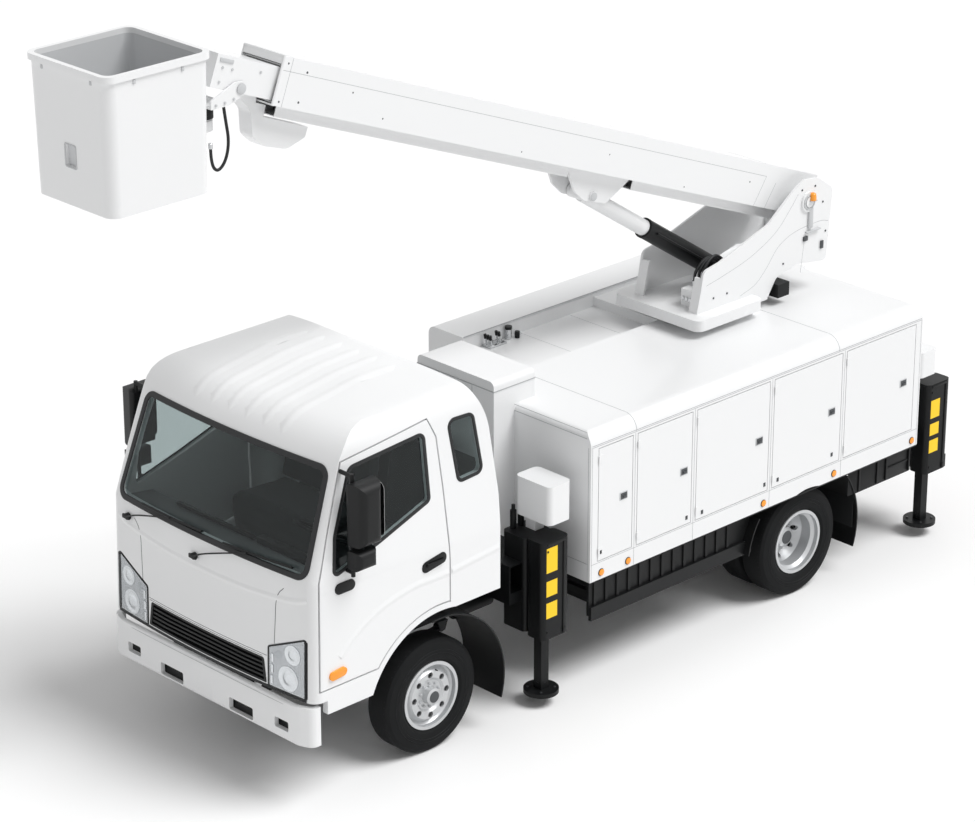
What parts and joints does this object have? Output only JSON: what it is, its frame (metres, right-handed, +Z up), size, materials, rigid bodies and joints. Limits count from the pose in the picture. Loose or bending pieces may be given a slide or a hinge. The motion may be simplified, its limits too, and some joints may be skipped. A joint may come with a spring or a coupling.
{
  "type": "truck-mounted telescopic boom aerial platform",
  "caption": "Light cab-over truck with side lockers, four outriggers and a slewing telescopic boom that carries a work bucket.",
  "frame": {"origin": "bottom centre of the whole truck as it stands, on the ground", "axes": "+X to the truck's left, +Y rearwards (the cab faces -Y), +Z up"},
  "size_m": [2.37, 7.225, 4.88],
  "materials": {
    "body_white": "gloss",
    "chassis_black": "satin",
    "engine_grey": "rough",
    "rim_silver": "satin",
    "tyre": "matte",
    "glass": "clear",
    "black_plastic": "matte",
    "lamp_clear": "gloss",
    "lamp_red": "gloss",
    "seat_fabric": "woven"
  },
  "bodies": {
    "chassis": {"chassis_frame": "chassis_black", "engine_block": "engine_grey", "front_axle": "chassis_black", "rear_axle": "chassis_black", "fuel_tank": "chassis_black", "side_guards": "black_plastic", "bumper": "body_white", "tail_lamps": "lamp_red", "locker_left": "body_white", "locker_right": "body_white", "deck": "body_white", "power_cover": "body_white", "outrigger_covers": "body_white"},
    "cab": {"cab_shell": "body_white", "cab_glass": "glass", "grille": "black_plastic", "headlamps": "lamp_clear", "dashboard": "black_plastic", "seats": "seat_fabric"},
    "steering_wheel": {"steering_wheel": "black_plastic"},
    "turret": {"turret": "body_white", "turret_drive": "chassis_black"},
    "boom_outer": {"boom_outer": "body_white"},
    "boom_mid": {"boom_mid": "body_white"},
    "boom_inner": {"boom_inner": "body_white"},
    "bucket_bracket": {"bucket_bracket": "body_white"},
    "bucket": {"bucket": "body_white"},
    "lift_barrel": {"lift_barrel": "chassis_black"},
    "lift_rod": {"lift_rod": "body_white"},
    "cab_door_left": {"door_left": "body_white", "door_glass_left": "glass", "mirror_left": "black_plastic"},
    "knuckle_left": {"knuckle_left": "chassis_black"},
    "wheel_front_left": {"tyre_front_left": "tyre", "rim_front_left": "rim_silver"},
    "wheels_rear_left": {"tyres_rear_left": "tyre", "rims_rear_left": "rim_silver"},
    "cab_door_right": {"door_right": "body_white", "door_glass_right": "glass", "mirror_right": "black_plastic"},
    "knuckle_right": {"knuckle_right": "chassis_black"},
    "wheel_front_right": {"tyre_front_right": "tyre", "rim_front_right": "rim_silver"},
    "wheels_rear_right": {"tyres_rear_right": "tyre", "rims_rear_right": "rim_silver"},
    "locker_door_left_1": {"locker_door_left_1": "body_white"},
    "locker_door_left_2": {"locker_door_left_2": "body_white"},
    "locker_door_left_3": {"locker_door_left_3": "body_white"},
    "locker_door_left_4": {"locker_door_left_4": "body_white"},
    "locker_door_left_5": {"locker_door_left_5": "body_white"},
    "locker_door_right_1": {"locker_door_right_1": "body_white"},
    "locker_door_right_2": {"locker_door_right_2": "body_white"},
    "beam_front_left": {"beam_front_left": "chassis_black"},
    "leg_front_left": {"leg_front_left": "chassis_black"},
    "beam_front_right": {"beam_front_right": "chassis_black"},
    "leg_front_right": {"leg_front_right": "chassis_black"},
    "beam_rear_left": {"beam_rear_left": "chassis_black"},
    "leg_rear_left": {"leg_rear_left": "chassis_black"},
    "beam_rear_right": {"beam_rear_right": "chassis_black"},
    "leg_rear_right": {"leg_rear_right": "chassis_black"}
  },
  "joints": [
    {"name": "cab_tilt", "type": "hinge", "parent": "chassis", "child": "cab", "pos_m": [0, -2.6525, 0.64], "axis": [1, 0, 0], "range_deg": [0, 45]},
    {"name": "cab_door_left_swing", "type": "hinge", "parent": "cab", "child": "cab_door_left", "pos_m": [0.995, -2.6325, 1.5], "axis": [0, 0, -1], "range_deg": [0, 70]},
    {"name": "cab_door_right_swing", "type": "hinge", "parent": "cab", "child": "cab_door_right", "pos_m": [-0.995, -2.6325, 1.5], "axis": [0, 0, 1], "range_deg": [0, 70]},
    {"name": "steer_left", "type": "hinge", "parent": "chassis", "child": "knuckle_left", "pos_m": [0.7, -1.5785, 0.3985], "axis": [0, 0, 1], "range_deg": [-35, 35]},
    {"name": "steer_right", "type": "hinge", "parent": "chassis", "child": "knuckle_right", "pos_m": [-0.7, -1.5785, 0.3985], "axis": [0, 0, 1], "range_deg": [-35, 35]},
    {"name": "steering_wheel_turn", "type": "hinge", "parent": "cab", "child": "steering_wheel", "pos_m": [0.44, -2.0725, 1.54], "axis": [0, 0.5, 0.866], "range_deg": [-420, 420]},
    {"name": "roll_front_left", "type": "hinge", "parent": "knuckle_left", "child": "wheel_front_left", "pos_m": [0.81, -1.5785, 0.3985], "axis": [1, 0, 0], "continuous": true},
    {"name": "roll_rear_left", "type": "hinge", "parent": "chassis", "child": "wheels_rear_left", "pos_m": [0.762, 1.9215, 0.3985], "axis": [1, 0, 0], "continuous": true},
    {"name": "roll_front_right", "type": "hinge", "parent": "knuckle_right", "child": "wheel_front_right", "pos_m": [-0.81, -1.5785, 0.3985], "axis": [1, 0, 0], "continuous": true},
    {"name": "roll_rear_right", "type": "hinge", "parent": "chassis", "child": "wheels_rear_right", "pos_m": [-0.762, 1.9215, 0.3985], "axis": [1, 0, 0], "continuous": true},
    {"name": "locker_door_left_1_swing", "type": "hinge", "parent": "chassis", "child": "locker_door_left_1", "pos_m": [1.056, -0.2005, 1.36], "axis": [0, 0, -1], "range_deg": [0, 95]},
    {"name": "locker_door_left_2_swing", "type": "hinge", "parent": "chassis", "child": "locker_door_left_2", "pos_m": [1.056, 0.1695, 1.36], "axis": [0, 0, -1], "range_deg": [0, 95]},
    {"name": "locker_door_left_3_swing", "type": "hinge", "parent": "chassis", "child": "locker_door_left_3", "pos_m": [1.056, 0.7495, 1.36], "axis": [0, 0, -1], "range_deg": [0, 95]},
    {"name": "locker_door_left_4_swing", "type": "hinge", "parent": "chassis", "child": "locker_door_left_4", "pos_m": [1.056, 1.5295, 1.36], "axis": [0, 0, -1], "range_deg": [0, 95]},
    {"name": "locker_door_left_5_swing", "type": "hinge", "parent": "chassis", "child": "locker_door_left_5", "pos_m": [1.056, 2.2895, 1.36], "axis": [0, 0, -1], "range_deg": [0, 95]},
    {"name": "locker_door_right_1_swing", "type": "hinge", "parent": "chassis", "child": "locker_door_right_1", "pos_m": [-1.056, 0.7495, 1.36], "axis": [0, 0, 1], "range_deg": [0, 95]},
    {"name": "locker_door_right_2_swing", "type": "hinge", "parent": "chassis", "child": "locker_door_right_2", "pos_m": [-1.056, 2.2895, 1.36], "axis": [0, 0, 1], "range_deg": [0, 95]},
    {"name": "beam_front_left_out", "type": "slide", "parent": "chassis", "child": "beam_front_left", "axis": [1, 0, 0], "range_m": [0, 0.85]},
    {"name": "leg_front_left_down", "type": "slide", "parent": "beam_front_left", "child": "leg_front_left", "axis": [0, 0, -1], "range_m": [0, 0.35]},
    {"name": "beam_front_right_out", "type": "slide", "parent": "chassis", "child": "beam_front_right", "axis": [-1, 0, 0], "range_m": [0, 0.85]},
    {"name": "leg_front_right_down", "type": "slide", "parent": "beam_front_right", "child": "leg_front_right", "axis": [0, 0, -1], "range_m": [0, 0.35]},
    {"name": "beam_rear_left_out", "type": "slide", "parent": "chassis", "child": "beam_rear_left", "axis": [1, 0, 0], "range_m": [0, 0.85]},
    {"name": "leg_rear_left_down", "type": "slide", "parent": "beam_rear_left", "child": "leg_rear_left", "axis": [0, 0, -1], "range_m": [0, 0.35]},
    {"name": "beam_rear_right_out", "type": "slide", "parent": "chassis", "child": "beam_rear_right", "axis": [-1, 0, 0], "range_m": [0, 0.85]},
    {"name": "leg_rear_right_down", "type": "slide", "parent": "beam_rear_right", "child": "leg_rear_right", "axis": [0, 0, -1], "range_m": [0, 0.35]},
    {"name": "turret_slew", "type": "hinge", "parent": "chassis", "child": "turret", "pos_m": [0, 2.0375, 1.96], "axis": [0, 0, 1], "range_deg": [-180, 180]},
    {"name": "boom_lift", "type": "hinge", "parent": "turret", "child": "boom_outer", "pos_m": [0, 2.6875, 2.6], "axis": [-1, 0, 0], "range_deg": [-16, 55]},
    {"name": "lift_barrel_swing", "type": "hinge", "parent": "turret", "child": "lift_barrel", "pos_m": [0, 2.1375, 2.12], "axis": [-1, 0, 0], "range_deg": [-15.16, 51.85]},
    {"name": "lift_rod_slide", "type": "slide", "parent": "lift_barrel", "child": "lift_rod", "axis": [0, -0.8374, 0.5465], "range_m": [-0.1952, 0.666]},
    {"name": "boom_mid_out", "type": "slide", "parent": "boom_outer", "child": "boom_mid", "axis": [0, -0.9323, 0.3616], "range_m": [0, 3.5]},
    {"name": "boom_inner_out", "type": "slide", "parent": "boom_mid", "child": "boom_inner", "axis": [0, -0.9323, 0.3616], "range_m": [0, 3.5]},
    {"name": "bucket_level", "type": "hinge", "parent": "boom_inner", "child": "bucket_bracket", "pos_m": [0, -2.43401, 4.52215], "axis": [-1, 0, 0], "range_deg": [-55.1, 16.1]},
    {"name": "bucket_swivel", "type": "hinge", "parent": "bucket_bracket", "child": "bucket", "pos_m": [0, -2.6025, 4.52215], "axis": [0, 0, 1], "range_deg": [-90, 90]}
  ],
  "couplings": [
    {"joint": "steer_right", "follows": "steer_left", "ratio": 1},
    {"joint": "steering_wheel_turn", "follows": "steer_left", "ratio": 12},
    {"joint": "lift_barrel_swing", "follows": "boom_lift", "ratio": 0.941},
    {"joint": "lift_rod_slide", "follows": "boom_lift", "m_per_rad": 0.6917},
    {"joint": "bucket_level", "follows": "boom_lift", "ratio": -1},
    {"joint": "boom_inner_out", "follows": "boom_mid_out", "ratio": 1}
  ]
}
